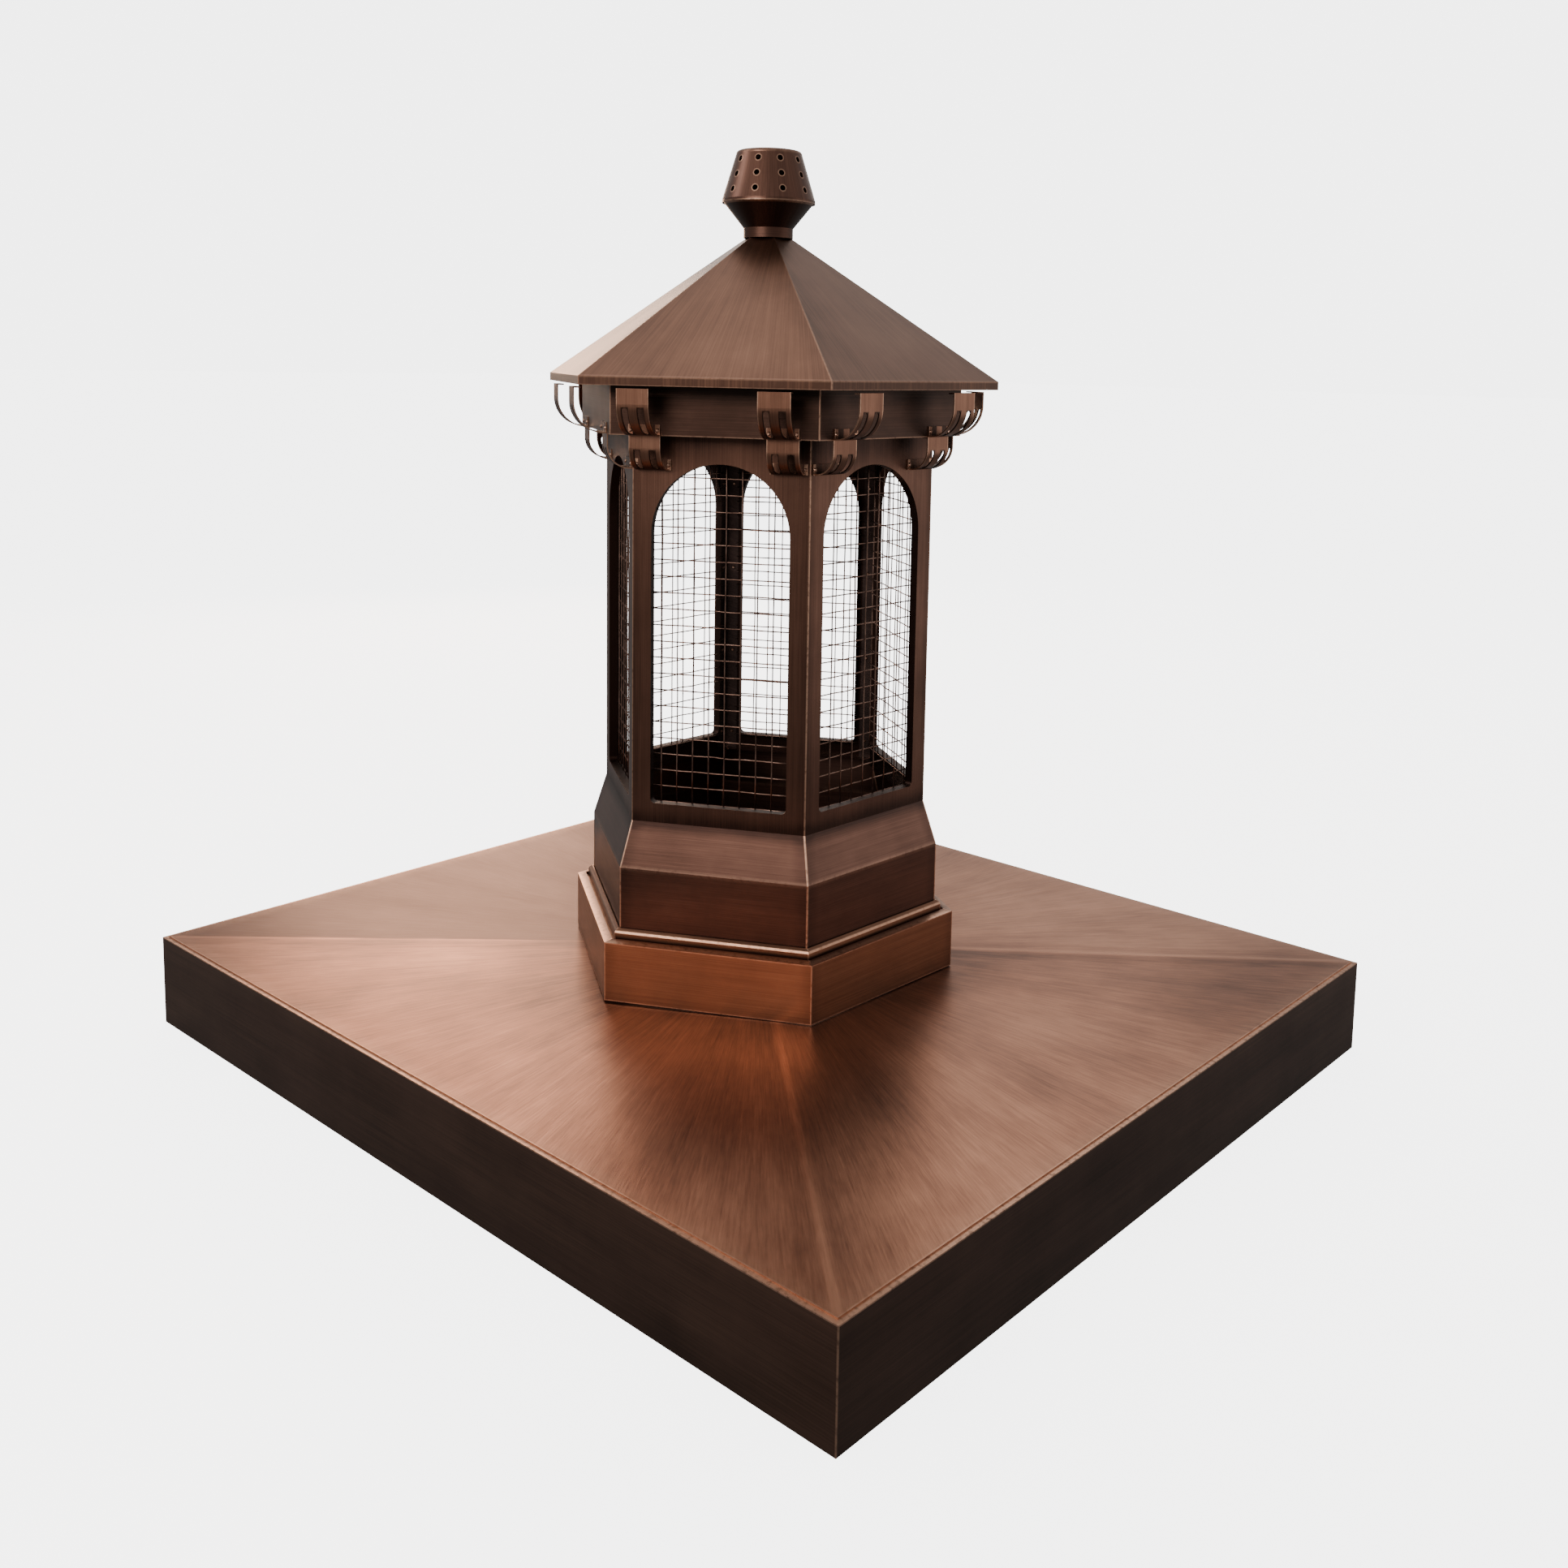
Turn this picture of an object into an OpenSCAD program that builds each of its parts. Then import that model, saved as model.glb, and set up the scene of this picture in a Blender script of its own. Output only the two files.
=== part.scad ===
// Vented chimney cap: a hexagonal copper lantern with mesh windows, standing on a hipped rectangular pan.
// The origin is the middle of the pan at the foot of its skirt. +Z is up, X runs along the pan's long side.

/* [Pan] */
// Length of the pan along X
pan_w = 1220; // [1000:10:1500]
// Depth of the pan along Y
pan_d = 1060; // [860:10:1300]
// Height of the skirt
skirt_h = 120; // [90:1:160]
// Rise of the deck from its edge to where its hips would meet
deck_rise = 9.4; // [6:0.1:20]
// Thickness of the pan's sheet
pan_t = 1.5; // [1:0.1:2.5]
// Width of the skirt's top lip
lip_w = 14; // [10:1:20]
// How far the deck's edge lies inside the skirt
deck_inset = 6; // [3:1:8]
// Height of the hem folded up inside the skirt
hem_h = 12; // [8:1:20]
// Depth of the ribs under the deck
rib_h = 28; // [20:1:40]
// Inside radius of the flue collar
flue_r = 127; // [100:1:140]
// Height of the flue collar above the pan's skirt
collar_h = 90; // [60:1:110]

/* [Lantern] */
// Turn of the lantern on the pan, in degrees
lantern_turn = -2; // [-10:1:10]
// Width of the cage across its flats
cage_af = 380; // [316:1:460]
// Height of the cage walls
cage_h = 532; // [440:1:640]
// Thickness of the lantern's sheet
sheet_t = 1.2; // [1:0.1:1.5]
// How far the drum stands out from the cage
drum_out = 16; // [10:1:24]
// Height of the drum's upright wall above its moulding
drum_h = 76; // [50:1:100]
// Height of the sloping shoulder over the drum
shoulder_h = 56; // [40:1:80]
// How far the plinth stands out from the drum
plinth_out = 20.6; // [18:0.1:30]
// Height of the plinth
plinth_h = 73.5; // [50:0.5:100]
// Gap between the deck and the plinth's lower edge
plinth_gap = 1.5; // [1:0.5:5]
// Height of the moulding above the plinth's edge
moulding_h = 13; // [9:1:18]

/* [Windows] */
// Width of the stile on each side of a window
stile_w = 23.8; // [20:0.1:32]
// Height of the rail under a window
sill_rail = 24; // [16:1:40]
// Height of the wall between a window's arch and the frieze
head_rail = 33; // [24:1:50]
// Depth of the return around a window
reveal_d = 10; // [6:1:16]
// Radius of a window's lower corners
window_corner_r = 6; // [3:1:10]
// Spacing of the mesh wires
mesh_pitch = 20; // [16:1:30]
// Diameter of a mesh wire
wire_d = 1.6; // [1:0.1:2.4]
// Sideways set of the mesh from the middle of its window
mesh_shift = 4; // [-8:1:8]

/* [Frieze and brackets] */
// Height of the frieze
frieze_h = 58; // [50:1:74]
// How far the frieze stands out from the cage
frieze_out = 30; // [24:1:38]
// How far the roof's edge stands out from the frieze
eave_out = 40; // [32:1:50]
// Width of a bracket
bracket_w = 39; // [32:1:46]
// Distance of a bracket's middle from the nearer corner of the cage
bracket_inset = 25.8; // [25:0.1:34]
// Height of a lower bracket
low_bracket_h = 42; // [36:1:50]
// Thickness of a bracket
bracket_t = 1.5; // [1:0.1:2]
// Width of a bracket's slots
slot_w = 7.5; // [5:0.5:9]
// Distance between the two slots of a bracket
slot_spacing = 19; // [14:1:22]

/* [Roof and finial] */
// Rise of the roof from its fascia to where its hips would meet
roof_rise = 194.6; // [150:1:240]
// Height of the fascia
fascia_h = 10.2; // [8:0.1:16]
// Outside radius of the neck
neck_r = 31.5; // [26:0.5:38]
// Height of the neck band
neck_h = 12.4; // [8:0.1:18]
// Height of the finial's bowl
bowl_h = 32.8; // [26:0.1:42]
// Radius of the finial where it is widest
finial_r = 59.2; // [50:0.1:70]
// Height of the finial's perforated shade
shade_h = 63.5; // [56:0.5:80]
// Radius of the finial's top
finial_top_r = 42; // [36:0.5:48]
// Radius of a vent hole
vent_r = 3.5; // [2:0.5:5]
// Spacing of the rows of vent holes
vent_pitch = 19; // [15:0.5:22]

/* [Hidden] */
copper = "#6b3f2c";
dark_copper = "#3c2419";
wire_copper = "#7a5a48";
bright_copper = "#b0714e";
$fn = 64;
past = 1;                    // how far a cutting solid runs past the surface it cuts
screw_clear = 0.1;           // radial clearance of a screw in its hole
lift_gap = 0.3;              // gap under the roof where it rests on the frieze
spigot_clear = 1;            // gap around the roof's locating flange
sides = 6;
hex_slope = tan(30);         // half the side of a hexagon for each unit of its apothem

pan_a = pan_w / 2;
pan_b = pan_d / 2;
deck_a = pan_a - deck_inset;
deck_b = pan_b - deck_inset;
deck_z = skirt_h + pan_t;

cage_ap = cage_af / 2;
drum_ap = cage_ap + drum_out;
plinth_ap = drum_ap + plinth_out;
frieze_ap = cage_ap + frieze_out;
eave_ap = frieze_ap + eave_out;
cage_side = 2 * cage_ap * hex_slope;
wedge_reach = 2 * eave_ap;

plinth_z = deck_z + deck_rise * (1 - plinth_ap / max(deck_a, deck_b)) + plinth_gap;
plinth_top = plinth_z + plinth_h;
shelf_rise = 2;
shelf_w = plinth_out / 2;
ledge_drop = 1.5;            // how far the drum's seat lies below the plinth's edge
seat_z = plinth_top - ledge_drop;
seat_w = 10;
shoulder_z = plinth_top + moulding_h + drum_h;
cage_z = shoulder_z + shoulder_h;
cage_top = cage_z + cage_h;

window_hw = cage_side / 2 - stile_w;
window_z = cage_z + sill_rail;
frieze_z = cage_top - frieze_h;
window_top = frieze_z - head_rail;
spring_z = window_top - window_hw;
mesh_overlap = 5;
mesh_x = cage_ap - sheet_t - reveal_d - wire_d;

angle_t = 1.5;
angle_leg = 16;
cleat_w = 30;
cleat_leg = 28;
cleat_t = 2;
screw_r = 2.4;
screw_head_r = 4.5;
screw_head_h = 3;
screw_len = 12;
rib_flange = 20;
collar_t = 1.5;
collar_flange = 20;

bracket_gap = 3;             // gap between an upper bracket and the roof
up_bracket_h = frieze_h - bracket_gap;
bracket_flange = 9;
foot_h = 13;
wide_foot_w = bracket_w + 7;
slot_share = 0.6;            // height of the slots' upper ends as a part of the bracket's height
low_bracket_z = frieze_z - low_bracket_h;
bracket_y = cage_side / 2 - bracket_inset;
rivet_r = 2.4;
rivet_h = 1.4;

eave_z = cage_top + lift_gap;
fascia_top = eave_z + fascia_h;
roof_slope = roof_rise / eave_ap;
apex_z = fascia_top + roof_rise;
throat_r = neck_r - 5.5;
roof_open = throat_r + 0.05;
neck_z = apex_z - (neck_r - sheet_t) * roof_slope * cos(30) + 0.1;
neck_top = neck_z + neck_h;
throat_drop = 18;
spigot_h = 16;
bowl_top = neck_top + bowl_h;
rim_h = 4;
vents_around = 10;
vent_rows = 3;
vent_turn = 10;              // turn of the first column of vent holes
first_vent = 13;             // height of the lowest row above the bowl

// ---- shared shapes ----

// A slab of the given half width whose height over the ground falls away like a ridge roof along Y.
module ridge(half, base, rise, run) {
    rotate([90, 0, 0])
        linear_extrude(height = 2 * run, center = true)
            polygon([[-half, -past], [half, -past], [half, base], [0, base + rise], [-half, base]]);
}

// The solid under a hipped deck whose edge is at the given height.
module under_deck(base) {
    intersection() {
        ridge(deck_a, base, deck_rise, pan_b);
        rotate([0, 0, 90]) ridge(deck_b, base, deck_rise, pan_a);
    }
}

// A hexagonal solid whose apothem follows [apothem, z] points from its foot to its top.
module hex_solid(points) {
    last = len(points) - 1;
    outline = concat(points, [for (i = [last:-1:0]) [-points[i][0], points[i][1]]]);
    intersection_for (turn = [0, 60, 120])
        rotate([0, 0, turn])
            rotate([90, 0, 0])
                linear_extrude(height = 3 * points[0][0], center = true) polygon(outline);
}

// An upright hexagonal prism between two heights.
module hex_prism(apothem, low, high) {
    translate([0, 0, low])
        rotate([0, 0, 30])
            cylinder(r = apothem / cos(30), h = high - low, $fn = sides);
}

module hex_ring(outer, inner, low, high) {
    difference() {
        hex_prism(outer, low, high);
        hex_prism(inner, low - past, high + past);
    }
}

// The sixth of space that one side of the lantern takes, seen from its axis.
module side_wedge(low, high) {
    translate([0, 0, low])
        linear_extrude(height = high - low)
            polygon([[0, 0], [wedge_reach, -wedge_reach * hex_slope], [wedge_reach, wedge_reach * hex_slope]]);
}

module lantern() {
    rotate([0, 0, lantern_turn]) children();
}

// Places a child made for the side that faces +X on side k.
module on_side(k) {
    lantern() rotate([0, 0, 60 * (k - 1)]) children();
}

// Stands a drawing of a wall, y across and z up, on the side that faces +X, from x inwards.
module wall_cut(x, depth) {
    translate([x - depth, 0, 0])
        rotate([90, 0, 90])
            linear_extrude(height = depth) children();
}

module rivet_head() {
    rotate([0, 90, 0]) cylinder(r1 = rivet_r, r2 = rivet_r * 0.6, h = rivet_h, $fn = 24);
}

// ---- pan ----

// One side of the skirt, mitred at both ends: wall, top lip and hem. It faces -Y before it is turned.
module skirt_side(half_length, distance) {
    intersection() {
        rotate([90, 0, 90])
            linear_extrude(height = 2 * half_length, center = true)
                translate([-distance, 0])
                    polygon([[0, 0], [0, skirt_h], [lip_w, skirt_h], [lip_w, skirt_h - pan_t],
                        [pan_t, skirt_h - pan_t], [pan_t, hem_h], [2 * pan_t, hem_h], [2 * pan_t, 0]]);
        translate([0, -distance, -past])
            linear_extrude(height = skirt_h + 2 * past)
                polygon([[-half_length, 0], [half_length, 0],
                    [half_length - 2 * lip_w, 2 * lip_w], [2 * lip_w - half_length, 2 * lip_w]]);
    }
}

module skirt_front() { color(copper) skirt_side(pan_a, pan_b); }
module skirt_right() { color(copper) rotate([0, 0, 90]) skirt_side(pan_b, pan_a); }
module skirt_back() { color(copper) rotate([0, 0, 180]) skirt_side(pan_a, pan_b); }
module skirt_left() { color(copper) rotate([0, 0, 270]) skirt_side(pan_b, pan_a); }

module skirt_corner_angles() {
    leg = 25;
    color(dark_copper)
        for (sx = [0, 1], sy = [0, 1])
            mirror([sx, 0, 0]) mirror([0, sy, 0])
                translate([pan_a - pan_t - leg, pan_b - pan_t - leg, hem_h + past])
                    difference() {
                        cube([leg, leg, skirt_h - pan_t - hem_h - 2 * past]);
                        translate([-angle_t, -angle_t, -past]) cube([leg, leg, skirt_h]);
                    }
}

module cleat_screw_places() {
    for (k = [1:sides])
        on_side(k)
            translate([plinth_ap - sheet_t - cleat_leg / 2, 0, plinth_z + cleat_t]) children();
}

module pan_deck() {
    color(copper)
        difference() {
            under_deck(deck_z);
            translate([0, 0, -pan_t]) under_deck(deck_z);
            translate([0, 0, -2 * past]) cube([2 * pan_w, 2 * pan_d, 2 * skirt_h], center = true);
            cylinder(r = flue_r + collar_t + screw_clear, h = 2 * skirt_h);
            cleat_screw_places()
                translate([0, 0, -screw_len]) cylinder(r = screw_r + screw_clear, h = screw_len + past);
        }
}

// A rib from front to back under the deck, shaped to its slope along the top, with a flange at its foot.
module deck_rib() {
    rib_x = flue_r + collar_t + collar_flange + 20;
    half = pan_b - pan_t - lip_w;
    intersection() {
        union() {
            translate([rib_x, -half, skirt_h - rib_h]) cube([cleat_t, 2 * half, 2 * rib_h]);
            translate([rib_x, -half, skirt_h - rib_h]) cube([rib_flange, 2 * half, cleat_t]);
        }
        under_deck(skirt_h);
    }
}

module deck_rib_left() { color(dark_copper) mirror([1, 0, 0]) deck_rib(); }
module deck_rib_right() { color(dark_copper) deck_rib(); }

module flue_collar() {
    outer = flue_r + collar_t;
    flange_r = outer + collar_flange;
    flange_z = skirt_h + deck_rise * (1 - flange_r / min(deck_a, deck_b)) - collar_t;
    color(dark_copper)
        difference() {
            union() {
                translate([0, 0, flange_z]) cylinder(r = outer, h = skirt_h + collar_h - flange_z);
                translate([0, 0, flange_z]) cylinder(r = flange_r, h = collar_t);
            }
            cylinder(r = flue_r, h = skirt_h + collar_h + past);
        }
}

// ---- plinth and drum ----

module plinth_band() {
    shelf_ap = plinth_ap - shelf_w;
    shelf_z = plinth_top + shelf_rise;
    color(copper)
        lantern()
            difference() {
                hex_solid([[plinth_ap, plinth_z], [plinth_ap, plinth_top], [shelf_ap, shelf_z]]);
                difference() {
                    hex_prism(plinth_ap - sheet_t, plinth_z - past, plinth_top - sheet_t);
                    hex_prism(shelf_ap + sheet_t, seat_z - sheet_t, plinth_top);
                }
                hex_prism(shelf_ap, seat_z, shelf_z + past);
                hex_prism(drum_ap - seat_w, plinth_z - past, shelf_z);
            }
}

module plinth_moulding() {
    outer = drum_ap + 7;
    top = plinth_top + moulding_h;
    color(copper)
        lantern()
            difference() {
                hex_solid([[outer, seat_z], [outer, top - 5], [outer - 1.2, top - 2.4], [drum_ap + 2.4, top]]);
                hex_prism(drum_ap + 1, seat_z - past, top + past);
            }
}

// Angle cleats inside the plinth, shaped to the deck below them.
module plinth_cleats() {
    x = plinth_ap - sheet_t;
    color(dark_copper)
        difference() {
            for (k = [1:sides])
                on_side(k) {
                    translate([x - cleat_t, -cleat_w / 2, skirt_h]) cube([cleat_t, cleat_w, plinth_z + cleat_w - skirt_h]);
                    translate([x - cleat_leg, -cleat_w / 2, skirt_h])
                        cube([cleat_leg, cleat_w, plinth_z + cleat_t - skirt_h]);
                }
            under_deck(deck_z);
            cleat_screw_places()
                translate([0, 0, -screw_len]) cylinder(r = screw_r + screw_clear, h = screw_len + past);
        }
}

module cleat_screws() {
    color(bright_copper)
        cleat_screw_places() {
            translate([0, 0, -screw_len]) cylinder(r = screw_r, h = screw_len + past / 2);
            cylinder(r = screw_head_r, h = screw_head_h);
        }
}

module drum_shell() {
    shelf = 14;
    color(copper)
        lantern()
            difference() {
                hex_solid([[drum_ap, seat_z], [drum_ap, shoulder_z], [cage_ap, cage_z]]);
                hex_solid([[drum_ap - sheet_t, seat_z - past], [drum_ap - sheet_t, shoulder_z],
                    [cage_ap, cage_z - sheet_t]]);
                hex_prism(cage_ap - shelf, seat_z - past, cage_z + past);
            }
}

// ---- cage ----

// Outline of a window, grown outwards by the given amount.
module arch(grow) {
    half = window_hw + grow;
    low = window_z - grow;
    corner = window_corner_r + grow;
    translate([0, spring_z]) circle(r = half);
    translate([-half, low + corner]) square([2 * half, spring_z - low - corner]);
    translate([corner - half, low]) square([2 * (half - corner), 2 * corner]);
    for (s = [-1, 1]) translate([s * (half - corner), low + corner]) circle(r = corner);
}

module window_panel(k) {
    color(copper)
        on_side(k) {
            difference() {
                intersection() {
                    translate([cage_ap - sheet_t, -cage_side, cage_z]) cube([sheet_t, 2 * cage_side, cage_h]);
                    side_wedge(cage_z - past, cage_top + past);
                }
                wall_cut(cage_ap + past, 2 * past + sheet_t) arch(0);
            }
            wall_cut(cage_ap - sheet_t, reveal_d)
                difference() {
                    arch(sheet_t);
                    arch(0);
                }
        }
}

// Welded mesh behind a window, held against the return around it.
module mesh(k) {
    half = window_hw + mesh_overlap;
    low = window_z - mesh_overlap;
    high = window_top + mesh_overlap;
    across = floor((half - abs(mesh_shift)) / mesh_pitch);
    rows = floor((high - window_z) / mesh_pitch);
    color(wire_copper)
        on_side(k)
            wall_cut(mesh_x + wire_d, wire_d) {
                for (i = [-across:across])
                    translate([i * mesh_pitch + mesh_shift - wire_d / 2, low]) square([wire_d, high - low]);
                for (j = [0:rows])
                    translate([-half, window_z - wire_d + j * mesh_pitch]) square([2 * half, wire_d]);
            }
}

module cage_corner_angles() {
    inner = cage_ap - sheet_t;
    reach = angle_leg * cos(30);
    color(dark_copper)
        lantern()
            for (k = [1:sides])
                intersection() {
                    hex_ring(inner, inner - angle_t, cage_z, cage_top);
                    rotate([0, 0, 60 * k + 30])
                        translate([0, -reach, cage_z]) cube([cage_side, 2 * reach, cage_h]);
                }
}

module cage_rivets() {
    rivets_high = 5;
    step = (cage_h - 2 * sill_rail) / (rivets_high - 1);
    x = cage_ap - sheet_t - angle_t;
    y = (cage_ap - sheet_t) * hex_slope - 0.6 * angle_leg;
    color(bright_copper)
        for (k = [1:sides], s = [-1, 1], j = [0:rivets_high - 1])
            on_side(k)
                translate([x, s * y, cage_z + sill_rail + j * step]) mirror([1, 0, 0]) rivet_head();
}

// ---- frieze and brackets ----

module frieze_band() {
    color(copper)
        lantern()
            difference() {
                hex_prism(frieze_ap, frieze_z, cage_top);
                hex_prism(frieze_ap - sheet_t, frieze_z + sheet_t, cage_top + past);
                hex_prism(cage_ap, frieze_z - past, cage_top + past);
            }
}

// Side view of a bracket's hollow: x out from the wall, y up, with the lower outer corner rounded.
module bent_outline(w, h, r) {
    translate([0, r]) square([w, h - r]);
    intersection() {
        union() {
            square([w - r, 2 * r]);
            translate([w - r, r]) circle(r = r);
        }
        square([w, h]);
    }
}

module slot_outline(low, high) {
    translate([-slot_w / 2, low + slot_w / 2]) square([slot_w, high - low - slot_w]);
    for (z = [low + slot_w / 2, high - slot_w / 2]) translate([0, z]) circle(d = slot_w);
}

// One bent strip: foot on the wall, curve, slotted front plate and top flange. It stands on z = 0 at x = 0.
module bracket(reach, h, foot_w) {
    bend = reach - 3;
    difference() {
        union() {
            rotate([90, 0, 0])
                linear_extrude(height = bracket_w, center = true)
                    difference() {
                        bent_outline(reach, h, bend);
                        translate([bracket_t, bracket_t])
                            bent_outline(reach - 2 * bracket_t, h - 2 * bracket_t, bend - bracket_t);
                        translate([-past, foot_h]) square([bracket_t + 2 * past, h]);
                        translate([-past, h - 2 * bracket_t]) square([reach - bracket_flange + past, h]);
                    }
            translate([0, -foot_w / 2, 0]) cube([bracket_t, foot_w, foot_h]);
        }
        for (s = [-1, 1])
            translate([0, s * slot_spacing / 2, 0])
                wall_cut(reach + past, reach + past - 2 * bracket_t - 3) slot_outline(bracket_t + 0.6, slot_share * h);
    }
}

module bracket_pair(k, wall, low, reach, h, foot_w) {
    on_side(k)
        for (s = [-1, 1]) translate([wall, s * bracket_y, low]) bracket(reach, h, foot_w);
}

module bracket_rivets(wall, low, foot_w) {
    for (k = [1:sides], s = [-1, 1], e = [-1, 1])
        on_side(k)
            translate([wall + bracket_t, s * bracket_y + e * (foot_w / 2 - rivet_r - 0.4), low + foot_h / 2])
                rivet_head();
}

// The strips under the roof are as wide at the foot as at the front. Those under the frieze have wider feet.
module upper_brackets(k) {
    color(copper) bracket_pair(k, frieze_ap, frieze_z, eave_out, up_bracket_h, bracket_w);
}
module lower_brackets(k) {
    color(copper) bracket_pair(k, cage_ap, low_bracket_z, frieze_out, low_bracket_h, wide_foot_w);
}
module upper_bracket_rivets() { color(bright_copper) bracket_rivets(frieze_ap, frieze_z, bracket_w); }
module lower_bracket_rivets() { color(bright_copper) bracket_rivets(cage_ap, low_bracket_z, wide_foot_w); }

// ---- roof and finial ----

module roof_panel(k) {
    drop = sheet_t * sqrt(1 + roof_slope * roof_slope);
    function top(x) = fascia_top + (eave_ap - x) * roof_slope;
    inner = eave_ap - sheet_t;
    color(copper)
        on_side(k)
            intersection() {
                rotate([90, 0, 0])
                    linear_extrude(height = 2 * eave_ap, center = true)
                        polygon([[eave_ap, eave_z], [eave_ap, fascia_top], [roof_open, top(roof_open)],
                            [roof_open, top(roof_open) - drop], [inner, top(inner) - drop], [inner, eave_z]]);
                side_wedge(eave_z - past, apex_z + past);
            }
}

// Flat ring that closes the eaves, with a flange that drops inside the cage.
module roof_soffit() {
    spigot = cage_ap - sheet_t - angle_t - spigot_clear;
    color(dark_copper)
        lantern()
            difference() {
                union() {
                    hex_prism(eave_ap - sheet_t, eave_z, eave_z + sheet_t);
                    hex_prism(spigot, eave_z - spigot_h, eave_z + sheet_t / 2);
                }
                hex_prism(spigot - sheet_t, eave_z - spigot_h - past, eave_z + sheet_t + past);
            }
}

// Band under the finial: its wall and the flat top that the bowl stands on.
module neck_band() {
    color(copper)
        rotate_extrude()
            polygon([[neck_r - sheet_t, neck_z], [neck_r, neck_z], [neck_r, neck_top], [throat_r, neck_top],
                [throat_r, neck_top - sheet_t], [neck_r - sheet_t, neck_top - sheet_t]]);
}

// Tube through the roof's open top.
module neck_throat() {
    color(copper)
        translate([0, 0, neck_z - throat_drop])
            difference() {
                cylinder(r = throat_r, h = throat_drop + neck_h);
                translate([0, 0, -past]) cylinder(r = throat_r - sheet_t, h = throat_drop + neck_h + 2 * past);
            }
}

module finial_bowl() {
    top_r = finial_r - sheet_t;
    color(copper)
        rotate_extrude()
            polygon([[neck_r - 1.5 * sheet_t, neck_top], [neck_r, neck_top], [top_r, bowl_top],
                [top_r, bowl_top + rim_h / 2], [top_r - sheet_t, bowl_top + rim_h / 2],
                [top_r - sheet_t, bowl_top + sheet_t / 2]]);
}

// Half outline of the shade from its rim to its middle, set inwards by the given amount.
function shade_outline(inset) = concat(
    [[finial_r - inset, bowl_top - rim_h / 2], [finial_r - inset, bowl_top + rim_h / 2]],
    [for (a = [0:18:90])
        [finial_top_r - shade_edge_r + (shade_edge_r - inset) * cos(a),
            bowl_top + shade_h - shade_edge_r + (shade_edge_r - inset) * sin(a)]],
    [[0, bowl_top + shade_h - inset]]);
shade_edge_r = 5;

module finial_shade() {
    outer = shade_outline(0);
    inner = shade_outline(sheet_t);
    last = len(inner) - 1;
    color(copper)
        difference() {
            rotate_extrude()
                polygon(concat(outer, [for (i = [last:-1:0]) inner[i]]));
            for (i = [0:vents_around - 1], j = [0:vent_rows - 1])
                rotate([0, 0, lantern_turn + vent_turn + i * 360 / vents_around])
                    translate([throat_r, 0, bowl_top + first_vent + j * vent_pitch])
                        rotate([0, 90, 0]) cylinder(r = vent_r, h = finial_r, $fn = 32);
        }
}

// ---- drawing ----

skirt_front();
skirt_right();
skirt_back();
skirt_left();
skirt_corner_angles();
pan_deck();
deck_rib_left();
deck_rib_right();
flue_collar();
plinth_band();
plinth_moulding();
plinth_cleats();
cleat_screws();
drum_shell();
cage_corner_angles();
cage_rivets();
frieze_band();
upper_bracket_rivets();
lower_bracket_rivets();
roof_soffit();
neck_band();
neck_throat();
finial_bowl();
finial_shade();
for (k = [1:sides]) {
    window_panel(k);
    mesh(k);
    upper_brackets(k);
    lower_brackets(k);
    roof_panel(k);
}
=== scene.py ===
"""Vented copper chimney cap: looks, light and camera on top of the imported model. Metres, +Z up, the CAD's own frame."""

import math
import random

import bmesh
import bpy
from mathutils import Matrix, Vector


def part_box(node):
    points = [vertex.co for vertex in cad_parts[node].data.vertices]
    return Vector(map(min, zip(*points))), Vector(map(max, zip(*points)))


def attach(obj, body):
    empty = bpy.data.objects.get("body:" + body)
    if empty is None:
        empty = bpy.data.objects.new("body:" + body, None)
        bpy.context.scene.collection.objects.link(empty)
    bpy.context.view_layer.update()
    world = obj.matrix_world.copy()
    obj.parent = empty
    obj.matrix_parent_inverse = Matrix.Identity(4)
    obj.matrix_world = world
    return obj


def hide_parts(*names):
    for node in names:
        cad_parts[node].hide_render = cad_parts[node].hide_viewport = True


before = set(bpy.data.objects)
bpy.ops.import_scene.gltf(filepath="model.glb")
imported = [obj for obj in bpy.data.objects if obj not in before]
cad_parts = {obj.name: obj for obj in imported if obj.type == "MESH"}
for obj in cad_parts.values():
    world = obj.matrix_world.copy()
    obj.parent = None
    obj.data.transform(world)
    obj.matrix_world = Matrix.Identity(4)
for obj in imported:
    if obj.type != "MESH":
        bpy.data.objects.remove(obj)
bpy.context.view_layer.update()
random.seed(7)

MM = 0.001
SIDES = 6
SIXTH = math.pi / 3
TURN = math.radians(-2)          # turn of the lantern on the pan
HALF_SIDE = math.tan(math.radians(30))

# Sizes that the model was drawn to.
CAGE_AP = 190 * MM
SHEET = 1.2 * MM
REVEAL = 10 * MM
MESH_PITCH = 20 * MM
MESH_SHIFT = 4 * MM
WIRE_R = 0.8 * MM
WINDOW_HW = CAGE_AP * HALF_SIDE - 23.8 * MM
MESH_OVERLAP = 5 * MM
BRACKET_U = CAGE_AP * HALF_SIDE - 25.8 * MM
BRACKET_HALF = 19.5 * MM
SLOT_U = 9.5 * MM
SLOT_HALF = 3.75 * MM
SLOT_OUT = 200 * MM

pan_low, pan_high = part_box("pan_deck")
plinth_low, plinth_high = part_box("plinth_band")
moulding_low, moulding_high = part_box("plinth_moulding")
drum_low, drum_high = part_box("drum_shell")
frieze_low, frieze_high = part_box("frieze_band")
roof_low, roof_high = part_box("roof_panel_1")
shade_low, shade_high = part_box("finial_shade")
bowl_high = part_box("finial_bowl")[1]
skirt_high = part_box("skirt_front")[1]
skirt_side_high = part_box("skirt_left")[1]
SHOULDER_Z = drum_high.z - 56 * MM
UPPER_SLOT_Z = frieze_low.z + 17 * MM
LOWER_SLOT_Z = frieze_low.z - 29.4 * MM
PLINTH_EDGE = plinth_high.z - 2 * MM
FASCIA_TOP = roof_low.z + 10.2 * MM
DECK_A = pan_high.x
DECK_B = pan_high.y
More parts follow.
